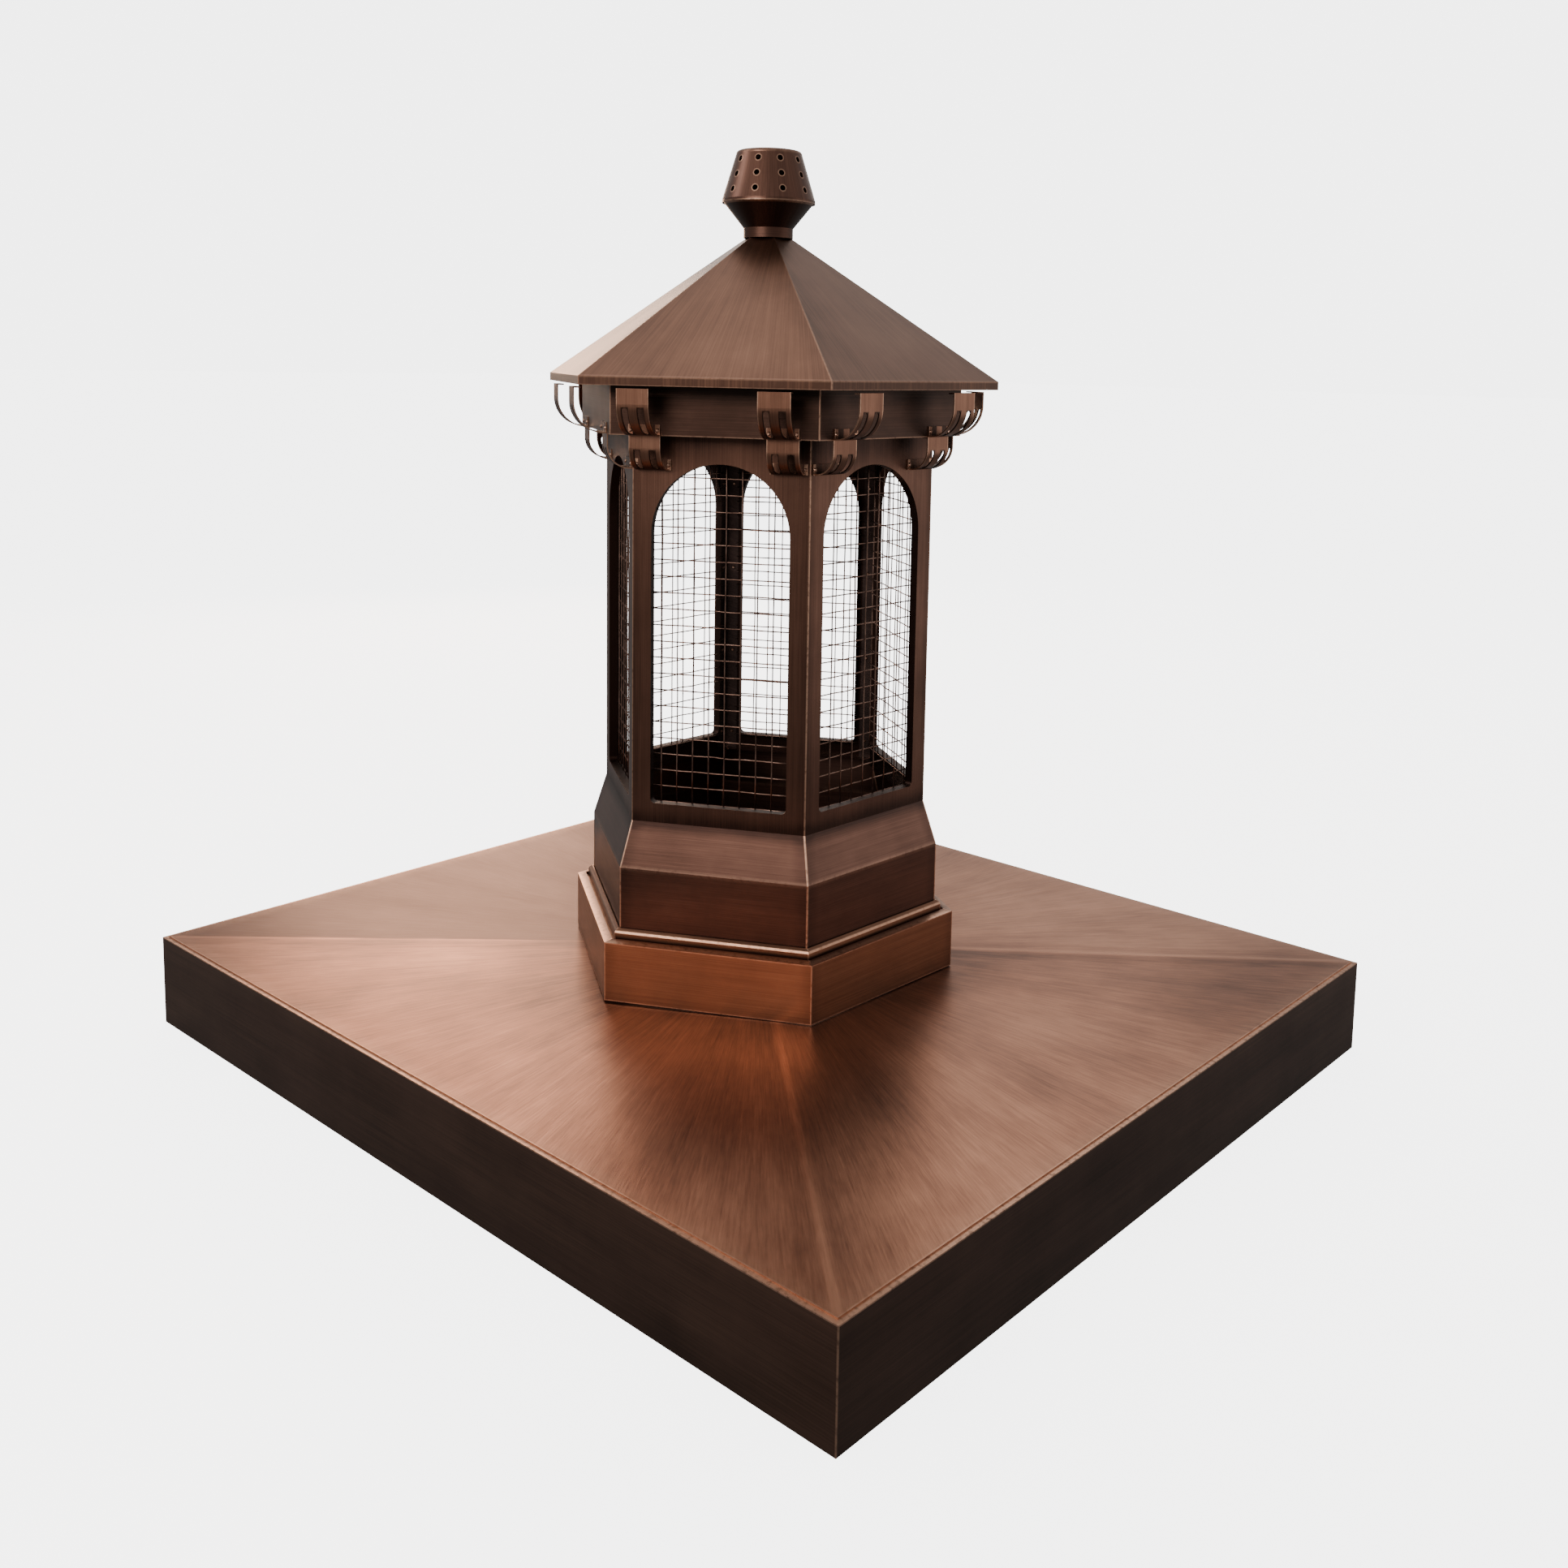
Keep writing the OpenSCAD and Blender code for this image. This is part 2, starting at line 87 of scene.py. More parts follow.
DECK_RISE = 9.4 * MM


# ---- node graphs ----

class Graph:
    """Short calls for building a material's nodes."""

    def __init__(self, name):
        self.material = bpy.data.materials.new(name)
        self.material.use_nodes = True
        self.tree = self.material.node_tree
        self.tree.nodes.clear()

    def node(self, kind, **settings):
        made = self.tree.nodes.new(kind)
        for key, value in settings.items():
            setattr(made, key, value)
        return made

    def feed(self, socket, value):
        if isinstance(value, bpy.types.NodeSocket):
            self.tree.links.new(value, socket)
        else:
            socket.default_value = value

    def math(self, operation, *values, clamp=False):
        made = self.node("ShaderNodeMath", operation=operation, use_clamp=clamp)
        for socket, value in zip(made.inputs, values):
            self.feed(socket, value)
        return made.outputs[0]

    def add(self, *values):
        total = values[0]
        for value in values[1:]:
            total = self.math("ADD", total, value)
        return total

    def mul(self, *values):
        total = values[0]
        for value in values[1:]:
            total = self.math("MULTIPLY", total, value)
        return total

    def sub(self, a, b):
        return self.math("SUBTRACT", a, b)

    def abs(self, a):
        return self.math("ABSOLUTE", a)

    def most(self, *values):
        total = values[0]
        for value in values[1:]:
            total = self.math("MAXIMUM", total, value)
        return total

    def vector(self, x, y, z):
        made = self.node("ShaderNodeCombineXYZ")
        for socket, value in zip(made.inputs, (x, y, z)):
            self.feed(socket, value)
        return made.outputs[0]

    def noise(self, vector, scale=1.0, detail=3.0, roughness=0.55, distortion=0.0):
        made = self.node("ShaderNodeTexNoise")
        self.feed(made.inputs["Vector"], vector)
        made.inputs["Scale"].default_value = scale
        made.inputs["Detail"].default_value = detail
        made.inputs["Roughness"].default_value = roughness
        made.inputs["Distortion"].default_value = distortion
        return made.outputs[0]

    def band(self, value, low, high, start=0.0, end=1.0):
        """Goes smoothly from start to end as the value goes from low to high."""
        made = self.node("ShaderNodeMapRange", interpolation_type="SMOOTHSTEP")
        for socket, number in zip(made.inputs, (value, low, high, start, end)):
            self.feed(socket, number)
        return made.outputs[0]

    def line(self, value, place, half, soft):
        """1 within half of the place, falling to 0 over the soft distance."""
        return self.band(self.abs(self.sub(value, place)), half, half + soft, 1.0, 0.0)

    def mix(self, factor, a, b, blend="MIX"):
        made = self.node("ShaderNodeMix", data_type="RGBA", blend_type=blend)
        self.feed(made.inputs[0], factor)
        for socket, value in zip((made.inputs[6], made.inputs[7]), (a, b)):
            if isinstance(value, tuple):
                value = (*value, 1.0)
            self.feed(socket, value)
        return made.outputs[2]

    def ramp(self, value, *stops):
        """A colour for each (place, colour) along the value."""
        made = self.node("ShaderNodeValToRGB")
        elements = made.color_ramp.elements
        while len(elements) < len(stops):
            elements.new(0.5)
        for element, (place, colour) in zip(elements, stops):
            element.position = place
            element.color = (*colour, 1.0)
        self.feed(made.inputs[0], value)
        return made.outputs[0]

    def place(self):
        """The point in the row frame, as x, y, z."""
        coordinates = self.node("ShaderNodeTexCoord")
        split = self.node("ShaderNodeSeparateXYZ")
        self.feed(split.inputs[0], coordinates.outputs["Object"])
        return split.outputs

    def streaks(self, along, across, seed, length, width, detail=3.0):
        """Brush marks of that length and width, in metres, from 0 to 1."""
        return self.noise(self.vector(self.mul(along, 1 / length), self.mul(across, 1 / width), seed), 1.0, detail)

    def finish(self, colour, roughness, height, metallic=1.0, coat=0.0, coat_roughness=0.3, depth=0.1 * MM, glow=0.0):
        shader = self.node("ShaderNodeBsdfPrincipled")
        self.feed(shader.inputs["Base Color"], colour)
        self.feed(shader.inputs["Roughness"], roughness)
        shader.inputs["Metallic"].default_value = metallic
        shader.inputs["Coat Weight"].default_value = coat
        shader.inputs["Coat Roughness"].default_value = coat_roughness
        shader.inputs["Emission Color"].default_value = (1, 1, 1, 1)
        shader.inputs["Emission Strength"].default_value = glow
        bump = self.node("ShaderNodeBump")
        bump.inputs["Strength"].default_value = 1.0
        bump.inputs["Distance"].default_value = depth
        self.feed(bump.inputs["Height"], height)
        self.feed(shader.inputs["Normal"], bump.outputs[0])
        out = self.node("ShaderNodeOutputMaterial")
        self.feed(out.inputs[0], shader.outputs[0])
        return self.material


def lantern_place(g):
    """Place on a side of the lantern: across, out, up, distance to the nearer corner, and the side's number."""
    x, y, z = g.place()
    c, s = math.cos(TURN), math.sin(TURN)
    lx = g.add(g.mul(x, c), g.mul(y, s))
    ly = g.sub(g.mul(y, c), g.mul(x, s))
    angle = g.math("ARCTAN2", ly, lx)
    side = g.math("ROUND", g.mul(angle, 1 / SIXTH))
    local = g.sub(angle, g.mul(side, SIXTH))
    reach = g.math("SQRT", g.add(g.mul(lx, lx), g.mul(ly, ly)))
    across = g.mul(reach, g.math("SINE", local))
    out = g.mul(reach, g.math("COSINE", local))
    corner = g.sub(g.mul(out, HALF_SIDE), g.abs(across))
    number = g.math("FLOORED_MODULO", side, 6.0)
    return across, out, z, corner, number


# ---- brushed copper ----

# Each finish is a run of colours from the patina left in the low places to the metal that the brush laid bare; the
# same dark end also serves as painted shade where a mask darkens the tone. The parts are one copper set lighter or
# darker part by part, partly as painted light: the skirts and the frieze darker as painted shade, the deck and the
# plinth lighter as painted light.
# The colour of edges rubbed bare, laid also as a painted highlight on edges and bends.
EDGE = (0.60, 0.35, 0.24)
PLINTH = ((0.100, 0.045, 0.028), (0.260, 0.122, 0.070), (0.420, 0.210, 0.125))
DRUM = ((0.042, 0.020, 0.015), (0.108, 0.051, 0.036), (0.200, 0.098, 0.070))
CAGE = ((0.038, 0.018, 0.013), (0.116, 0.055, 0.037), (0.225, 0.112, 0.077))
FRIEZE = ((0.02, 0.011, 0.008), (0.062, 0.031, 0.022), (0.13, 0.068, 0.048))
BRACKET = ((0.046, 0.022, 0.015), (0.165, 0.077, 0.049), (0.31, 0.155, 0.1))
ROOF = ((0.072, 0.034, 0.022), (0.200, 0.096, 0.059), (0.320, 0.166, 0.106))
DECK = ((0.115, 0.053, 0.035), (0.320, 0.148, 0.092), (0.550, 0.275, 0.175))
SKIRT = ((0.03, 0.0165, 0.012), (0.083, 0.045, 0.032), (0.155, 0.085, 0.06))
FINIAL = ((0.044, 0.022, 0.016), (0.122, 0.057, 0.039), (0.230, 0.112, 0.076))
DARK = ((0.026, 0.018, 0.017), (0.070, 0.046, 0.041), (0.150, 0.096, 0.082))
WIRE = ((0.07, 0.04, 0.032), (0.22, 0.13, 0.1), (0.46, 0.29, 0.23))
BRIGHT = ((0.16, 0.075, 0.05), (0.52, 0.29, 0.20), (0.85, 0.58, 0.44))


def brushed(g, along, across, seed, finish, rub_and_glint=0.0, shade=0.0, gloss=0.34, length=0.09, width=0.0011, spots=1.0,
            coat=0.12, depth=0.06 * MM, rub_and_glint_colour=EDGE, **more):
    """Copper brushed by hand along one direction. The first mask bares the metal to the edge colour, both as rubbing
    and as a painted highlight on edges and bends; shade darkens it, both as patina and as painted shade.
    """
    fine = g.streaks(along, across, seed, length, width)
    middle = g.streaks(along, across, g.add(seed, 31.7), length * 1.8, width * 4.0)
    broad = g.streaks(along, across, g.add(seed, 57.1), 0.17, 0.06, 4.0)
    x, y, z = g.place()
    point = g.vector(x, y, z)
    cloud = g.noise(point, 9.0, 4.0, 0.6)
    tone = g.add(
        0.5,
        g.mul(g.sub(fine, 0.5), 0.50),
        g.mul(g.sub(middle, 0.5), 0.20),
        g.mul(g.sub(broad, 0.5), 0.50 * spots),
        g.mul(g.sub(cloud, 0.5), 0.60 * spots),
    )
    tone = g.math("SUBTRACT", tone, shade, clamp=True)
    low, mid, high = finish
    colour = g.ramp(tone, (0.12, low), (0.5, mid), (0.88, high))
    ragged = g.band(g.noise(point, 160.0, 3.0, 0.6), 0.25, 0.55)
    # Metal rubbed bare mixed in, which also stands as a painted highlight.
    rubbed_and_glint = g.math("MULTIPLY", rub_and_glint, g.add(0.35, g.mul(ragged, 0.65)), clamp=True)
    colour = g.mix(rubbed_and_glint, colour, rub_and_glint_colour)
    rough = g.add(gloss + 0.10, g.mul(tone, -0.14), g.mul(g.sub(fine, 0.5), 0.16), g.mul(rubbed_and_glint, -0.06))
    height = g.add(g.mul(fine, 0.8), g.mul(middle, 0.4), g.mul(broad, 1.5))
    return g.finish(colour, rough, height, coat=coat, depth=depth, **more)


def deck_copper():
    """The deck: brushed outwards from the lantern on all four slopes, with the border rubbed bare and given a painted
    highlight, a painted highlight along the hips with painted shadow beside them, painted shade and reflection round
    the lantern's foot, and painted light and shade slope by slope.
    """
    g = Graph("deck_copper")
    x, y, z = g.place()
    reach = g.math("SQRT", g.add(g.mul(x, x), g.mul(y, y)))
    angle = g.math("ARCTAN2", y, x)
    turn_x, turn_y = g.math("COSINE", angle), g.math("SINE", angle)
    rays = g.noise(g.vector(g.mul(turn_x, 60.0), g.mul(turn_y, 60.0), g.mul(reach, 9.0)), 1.0, 4.0, 0.6)
    fans = g.noise(g.vector(g.mul(turn_x, 7.0), g.mul(turn_y, 7.0), g.mul(reach, 2.6)), 1.0, 3.0, 0.55)
    fine = g.noise(g.vector(g.mul(turn_x, 260.0), g.mul(turn_y, 260.0), g.mul(reach, 26.0)), 1.0, 3.0, 0.6)
    cloud = g.noise(g.vector(x, y, z), 5.5, 4.0, 0.6)
    slope_x = g.mul(g.abs(x), 1 / DECK_A)
    slope_y = g.mul(g.abs(y), 1 / DECK_B)
    hip = g.mul(g.abs(g.sub(slope_x, slope_y)), (DECK_A + DECK_B) / 2 * 0.7)
    border = g.mul(g.sub(1.0, g.most(slope_x, slope_y)), (DECK_A + DECK_B) / 2)
    # Painted shade and reflection: the deck darker round the foot of the lantern.
    foot = g.band(reach, 0.23, 0.42, 1.0, 0.0)
    tone = g.add(
        0.48,
        g.mul(g.sub(fine, 0.5), 0.55),
        g.mul(g.sub(rays, 0.5), 0.34),
        g.mul(g.sub(fans, 0.5), 0.50),
        g.mul(g.sub(cloud, 0.5), 0.60),
        g.mul(foot, -0.26),
        # Painted light and shade slope by slope: the near corner and the right-back slope lighter, the left-back slope
        # darker.
        g.mul(g.band(g.sub(x, y), 0.70, 1.05), 0.12),
        g.mul(g.band(g.sub(g.mul(x, -1 / DECK_A), slope_y), -0.01, 0.01), -0.60),
        g.mul(g.band(g.sub(g.mul(y, 1 / DECK_B), slope_x), -0.01, 0.01), 0.24),
    )
    # Painted highlight along each hip, with painted shadow beside it.
    hip_highlight = g.mul(g.line(hip, 0.0, 0.8 * MM, 7 * MM), g.band(reach, 0.25, 0.75, 0.30, 0.55))
    shadow = g.mul(g.line(hip, 16 * MM, 3 * MM, 16 * MM), 0.10)
    tone = g.math("SUBTRACT", g.add(tone, g.mul(hip_highlight, 0.45)), shadow, clamp=True)
    low, mid, high = DECK
    colour = g.ramp(tone, (0.12, low), (0.5, mid), (0.88, high))
    # The border rubbed bare, with a painted highlight.
    rim = g.most(g.band(border, 0.5 * MM, 2.5 * MM, 1.0, 0.0), g.mul(g.band(border, 3 * MM, 26 * MM, 1.0, 0.0), 0.18))
    ragged = g.band(g.noise(g.vector(x, y, z), 90.0, 3.0, 0.6), 0.25, 0.6)
    rubbed_and_glint = g.math("MULTIPLY", rim, g.add(0.3, g.mul(ragged, 0.5)), clamp=True)
    colour = g.mix(rubbed_and_glint, colour, EDGE)
    rough = g.add(0.40, g.mul(tone, -0.12), g.mul(g.sub(fine, 0.5), 0.15), g.mul(g.sub(fans, 0.5), 0.12))
    height = g.add(fine, g.mul(rays, 1.0), g.mul(fans, 3.0))
    return g.finish(colour, rough, height, coat=0.04, coat_roughness=0.32, depth=0.10 * MM)


def skirt_copper(name, along_x):
    """A skirt: the darkest copper, partly patina and partly painted shade, brushed along its length, rubbed bright at
    the fold and the corners with a painted highlight there, darker towards the floor, lighter near the top as painted
    light, and the long sides lighter and the short sides darker as painted light.
    """
    g = Graph(name)
    x, y, z = g.place()
    along, half = (x, skirt_high.x) if along_x else (y, skirt_side_high.y)
    end = g.sub(half, g.abs(along))
    top = g.sub(skirt_high.z, z)
    fold = g.mul(g.band(top, 0.6 * MM, 2.2 * MM, 1.0, 0.0), g.band(z, skirt_high.z - 4 * MM, skirt_high.z - 3 * MM))
    edge = g.most(g.mul(fold, 0.95), g.mul(g.band(end, 0.5 * MM, 2.0 * MM, 1.0, 0.0), 0.6))
    # Darker towards the floor; lighter near the top as painted light.
    foot = g.band(z, 0.0, 0.05, 0.10, 0.0)
    glow = g.mul(g.band(top, 0.0, 0.03, 1.0, 0.0), -0.10)
    # Painted light by side: the long front and back skirts lighter, the short left and right skirts darker.
    side = -0.12 if along_x else 0.08
    return brushed(g, along, z, 3.0 if along_x else 8.0, SKIRT, edge, g.add(foot, glow, side), gloss=0.42, length=0.16,
                   width=0.0013, coat=0.06, spots=0.8)


def plinth_copper():
    g = Graph("plinth_copper")
    across, out, z, corner, number = lantern_place(g)
    edge = g.most(
        g.mul(g.band(corner, 0.5 * MM, 1.8 * MM, 1.0, 0.0), 0.75),
        g.mul(g.line(z, PLINTH_EDGE, 0.5 * MM, 1.6 * MM), 0.7),
        g.mul(g.band(z, plinth_low.z + 0.4 * MM, plinth_low.z + 1.8 * MM, 1.0, 0.0), 0.65),
    )
    # Painted shade: darker on the shelf above the edge and along the foot next to the deck.
    shelf = g.mul(g.band(z, PLINTH_EDGE + 0.3 * MM, PLINTH_EDGE + 0.8 * MM), 0.42)
    rim = g.mul(g.line(z, plinth_low.z, 0.0, 0.018), 0.14)
    corners = g.mul(g.band(corner, 0.0, 0.02, 1.0, 0.0), 0.12)
    return brushed(g, across, z, g.add(g.mul(number, 11.0), 2.0), PLINTH, edge, g.add(shelf, rim, corners), gloss=0.30,
                   length=0.14, width=0.0012, spots=0.55, coat=0.15)


def moulding_copper():
    g = Graph("moulding_copper")
    across, out, z, corner, number = lantern_place(g)
    # The line along the top and the corners rubbed bare, with a painted highlight.
    edge = g.most(
        g.mul(g.line(z, moulding_high.z - 3.4 * MM, 0.7 * MM, 1.6 * MM), 0.45),
        g.mul(g.band(corner, 0.5 * MM, 1.8 * MM, 1.0, 0.0), 0.6),
    )
    # Painted shade: darker towards the bottom, and the whole moulding darker than the plinth.
    low = g.band(z, moulding_low.z, moulding_low.z + 7 * MM, 0.45, 0.0)
    return brushed(g, across, z, g.mul(number, 5.0), PLINTH, edge, g.add(low, 0.16), gloss=0.30, length=0.14,
                   width=0.0009, spots=0.6)


def drum_copper():
    """The drum: dark upright wall, lighter shoulder as painted light, darker near the top under the cage and just
    above the moulding as painted shade, a painted highlight along the bend between them, and soldered corners rubbed
    bright with a painted highlight.
    """
    g = Graph("drum_copper")
    across, out, z, corner, number = lantern_place(g)
    slope = g.band(z, SHOULDER_Z - 1 * MM, SHOULDER_Z + 2 * MM)
    seam = g.mul(g.band(corner, 0.7 * MM, 2.0 * MM, 1.0, 0.0), 0.85)
    # Painted highlight: a soft bright band along the bend between wall and shoulder.
    bend = g.mul(g.line(z, SHOULDER_Z, 0.6 * MM, 4.5 * MM), 0.16)
    rub_and_glint = g.most(seam, bend)
    # Painted shade near the top of the shoulder under the cage and just above the moulding; painted light on the whole
    # shoulder.
    top = g.mul(g.band(z, drum_high.z - 0.016, drum_high.z, 0.0, 1.0), 0.40)
    foot = g.mul(g.band(z, moulding_high.z, moulding_high.z + 0.03, 1.0, 0.0), 0.12)
    corners = g.mul(g.band(corner, 2 * MM, 0.022, 1.0, 0.0), 0.16)
    lift = g.mul(slope, -0.06)
    shade = g.add(top, foot, corners, lift)
    return brushed(g, across, z, g.add(g.mul(number, 7.0), 4.0), DRUM, rub_and_glint, shade, gloss=0.33, length=0.10,
                   width=0.0011, spots=0.75, coat=0.14)


def cage_copper():
    """The window walls: brushed upwards, darker along the foot and under the frieze as painted shade, darker on the
    window reveals and inside as painted shade, with corners rubbed bright and given a painted highlight.
    """
    g = Graph("cage_copper")
    across, out, z, corner, number = lantern_place(g)
    seam = g.mul(g.band(corner, 0.5 * MM, 1.7 * MM, 1.0, 0.0), 0.62)
    # Painted shade: darker along the foot where the wall meets the drum, and towards the top under the frieze.
    foot = g.mul(g.band(z, drum_high.z, drum_high.z + 0.022, 1.0, 0.0), 0.36)
    under = g.mul(g.band(z, frieze_low.z - 0.05, frieze_low.z, 0.0, 1.0), 0.30)
    corners = g.mul(g.band(corner, 2 * MM, 0.014, 1.0, 0.0), 0.14)
    # Painted shade: the window reveals and the inside faces darker.
    lip = g.band(out, CAGE_AP - 0.9 * MM, CAGE_AP - 0.3 * MM, 0.45, 0.0)
    return brushed(g, z, across, g.add(g.mul(number, 9.0), 1.0), CAGE, seam, g.add(foot, under, corners, lip),
                   gloss=0.36, length=0.12, width=0.0010, spots=0.8, coat=0.10)


def frieze_copper():
    g = Graph("frieze_copper")
    across, out, z, corner, number = lantern_place(g)
    rub_and_glint = g.most(
        g.mul(g.band(corner, 0.5 * MM, 1.6 * MM, 1.0, 0.0), 0.62),
        g.mul(g.band(z, frieze_low.z + 0.4 * MM, frieze_low.z + 1.7 * MM, 1.0, 0.0), 0.35),
    )
    # Painted shade: darker towards the top, under the roof's eave.
    eave = g.mul(g.band(z, frieze_high.z - 0.03, frieze_high.z, 0.0, 1.0), 0.30)
    return brushed(g, across, z, g.add(g.mul(number, 13.0), 6.0), FRIEZE, rub_and_glint, eave, gloss=0.36, length=0.13,
                   width=0.0011, spots=1.1)


def bracket_copper():
    """The brackets: brushed round their curve, bright along both cut edges, rubbed bare and with a painted highlight,
    darker round the slots and near the wall below the frieze as painted shade, and lifted lighter overall as painted
    light.
    """
    g = Graph("bracket_copper")
    across, out, z, corner, number = lantern_place(g)
    middle = g.abs(g.sub(g.abs(across), BRACKET_U))
    edge = g.mul(g.band(middle, BRACKET_HALF - 1.4 * MM, BRACKET_HALF - 0.5 * MM, 0.0, 1.0), 0.75)
    # Painted shade round the slots and near the wall; the whole bracket lifted lighter as painted light.
    rows = g.most(g.line(z, UPPER_SLOT_Z, 16 * MM, 1.5 * MM), g.line(z, LOWER_SLOT_Z, 12 * MM, 1.5 * MM))
    slots = g.mul(g.line(middle, SLOT_U, SLOT_HALF + 0.3 * MM, 0.8 * MM), g.band(out, SLOT_OUT, SLOT_OUT + 3 * MM), rows)
    inner = g.mul(g.band(out, CAGE_AP + 4 * MM, CAGE_AP + 20 * MM, 0.35, 0.0), g.band(z, frieze_low.z, frieze_low.z + 1 * MM, 1.0, 0.0))
    return brushed(g, g.add(z, out), across, g.add(g.mul(number, 3.0), g.mul(across, 40.0)), BRACKET, edge, g.add(inner, g.mul(slots, 0.5), -0.10),
                   gloss=0.34, length=0.05, width=0.0010, spots=0.9)


def roof_copper():
    """The roof: brushed down each slope, folded over a fascia made darker as painted shade, with hips, fold and hem
    rubbed bare and given a painted highlight.
    """
    g = Graph("roof_copper")
    across, out, z, corner, number = lantern_place(g)
    # Painted shade: the fascia below the fold darker than the slopes.
    fascia = g.band(z, FASCIA_TOP - 1.2 * MM, FASCIA_TOP + 0.4 * MM, 1.0, 0.0)
    hips = g.mul(g.band(corner, 0.6 * MM, 2.0 * MM, 1.0, 0.0), g.band(out, 0.04, 0.24, 0.12, 0.42))
    fold = g.mul(g.line(z, FASCIA_TOP, 0.6 * MM, 1.6 * MM), 0.18)
    hem = g.mul(g.band(z, roof_low.z + 0.3 * MM, roof_low.z + 1.2 * MM, 1.0, 0.0), 0.25)
    rub_and_glint = g.most(hips, fold, hem)
    # Darker towards the apex.
    apex_darkening = g.mul(g.band(out, 0.03, 0.11, 1.0, 0.0), 0.04)
    edge = g.mul(g.band(corner, 2 * MM, 0.03, 1.0, 0.0), 0.07)
    fan = g.mul(across, g.math("DIVIDE", 0.2, g.add(out, 0.12)))
    return brushed(g, out, fan, g.add(g.mul(number, 17.0), 5.0), ROOF, rub_and_glint,
                   g.add(apex_darkening, edge, g.mul(fascia, 0.36)), gloss=0.33, length=0.11, width=0.0013, spots=0.7,
                   coat=0.22)


def finial_copper():
    """The finial: brushed upwards, rubbed bare at its rims and top with a painted highlight there, the bowl below the
    shade's rim made dark as painted shade, with a bright burr round each vent.
    """
    g = Graph("finial_copper")
    x, y, z = g.place()
    angle = g.math("ARCTAN2", y, x)
    reach = g.math("SQRT", g.add(g.mul(x, x), g.mul(y, y)))
    rim = g.line(z, shade_low.z, 0.8 * MM, 1.6 * MM)
    top = g.mul(g.band(z, shade_high.z - 6 * MM, shade_high.z - 3 * MM), 0.25)
    step = 2 * math.pi / 10
    turned = g.sub(angle, TURN + math.radians(10))
    column = g.sub(turned, g.mul(g.math("ROUND", g.mul(turned, 1 / step)), step))
    side = g.mul(column, reach)
    base = bowl_high.z - 2 * MM + 13 * MM
    row = g.math("ROUND", g.mul(g.sub(z, base), 1 / (19 * MM)))
    row = g.math("MINIMUM", g.math("MAXIMUM", row, 0.0), 2.0)
    up = g.sub(z, g.add(base, g.mul(row, 19 * MM)))
    ring = g.math("SQRT", g.add(g.mul(side, side), g.mul(up, up)))
    burr = g.mul(g.band(ring, 4.3 * MM, 5.2 * MM, 1.0, 0.0), g.band(z, bowl_high.z + 2 * MM, bowl_high.z + 4 * MM))
    rub_and_glint = g.most(g.mul(rim, 0.45), g.mul(burr, 0.55), top)
    # Painted shade: the bowl, which faces down, darker below the shade's rim.
    under = g.band(z, bowl_high.z - 4 * MM, bowl_high.z - 2 * MM, 0.42, 0.0)
    return brushed(g, z, g.mul(angle, 0.05), g.mul(g.math("SINE", angle), 3.0), FINIAL, rub_and_glint, under, gloss=0.33,
                   length=0.045, width=0.0011, spots=0.7, coat=0.20)


def neck_copper():
    g = Graph("neck_copper")
    x, y, z = g.place()
    angle = g.math("ARCTAN2", y, x)
    # Painted shade: the finial's copper made a little darker on the neck, under the bowl.
    return brushed(g, g.mul(angle, 0.03), z, 3.0, FINIAL, 0.0, 0.12, gloss=0.36, length=0.05, width=0.0009)


def dark_copper():
    """Hidden structure: oxidised, mottled and hardly brushed."""
    g = Graph("dark_copper")
    x, y, z = g.place()
    return brushed(g, g.add(x, y), g.add(z, g.mul(x, 0.3)), 1.0, DARK, 0.0, 0.0, gloss=0.46, length=0.08, width=0.0016,
                   spots=1.2, coat=0.0)


def wire_copper():
    g = Graph("wire_copper")
    x, y, z = g.place()
    point = g.vector(x, y, z)
    tone = g.noise(point, 45.0, 3.0, 0.6)
    colour = g.ramp(tone, (0.25, WIRE[0]), (0.5, WIRE[1]), (0.8, WIRE[2]))
    drawn = g.noise(point, 900.0, 2.0, 0.5)
    return g.finish(colour, g.add(0.30, g.mul(drawn, 0.15)), drawn, depth=0.02 * MM)


def rivet_copper():
    g = Graph("rivet_copper")
    x, y, z = g.place()
    point = g.vector(x, y, z)
    tone = g.noise(point, 220.0, 3.0, 0.6)
    colour = g.ramp(tone, (0.2, BRIGHT[0]), (0.45, BRIGHT[1]), (0.75, BRIGHT[2]))
    return g.finish(colour, g.add(0.22, g.mul(tone, 0.2)), tone, depth=0.05 * MM)


def floor_paint():
    """Pale, faintly mottled studio floor."""
    g = Graph("floor_paint")
    x, y, z = g.place()
    tone = g.noise(g.vector(x, y, z), 2.2, 3.0, 0.5)
    colour = g.mix(tone, (0.84, 0.84, 0.84), (0.87, 0.87, 0.865))
    grain = g.noise(g.vector(x, y, z), 400.0, 2.0, 0.5)
    return g.finish(colour, 0.75, grain, metallic=0.0, depth=0.05 * MM, glow=4.4)


def give(material, *names):
    """Each CAD node takes this material in all its slots."""
    for name in names:
        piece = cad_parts[name]
        for slot in range(max(1, len(piece.data.materials))):
            if slot < len(piece.data.materials):
                piece.data.materials[slot] = material
            else:
                piece.data.materials.append(material)


def each(stem):
    return [f"{stem}_{k}" for k in range(1, SIDES + 1)]


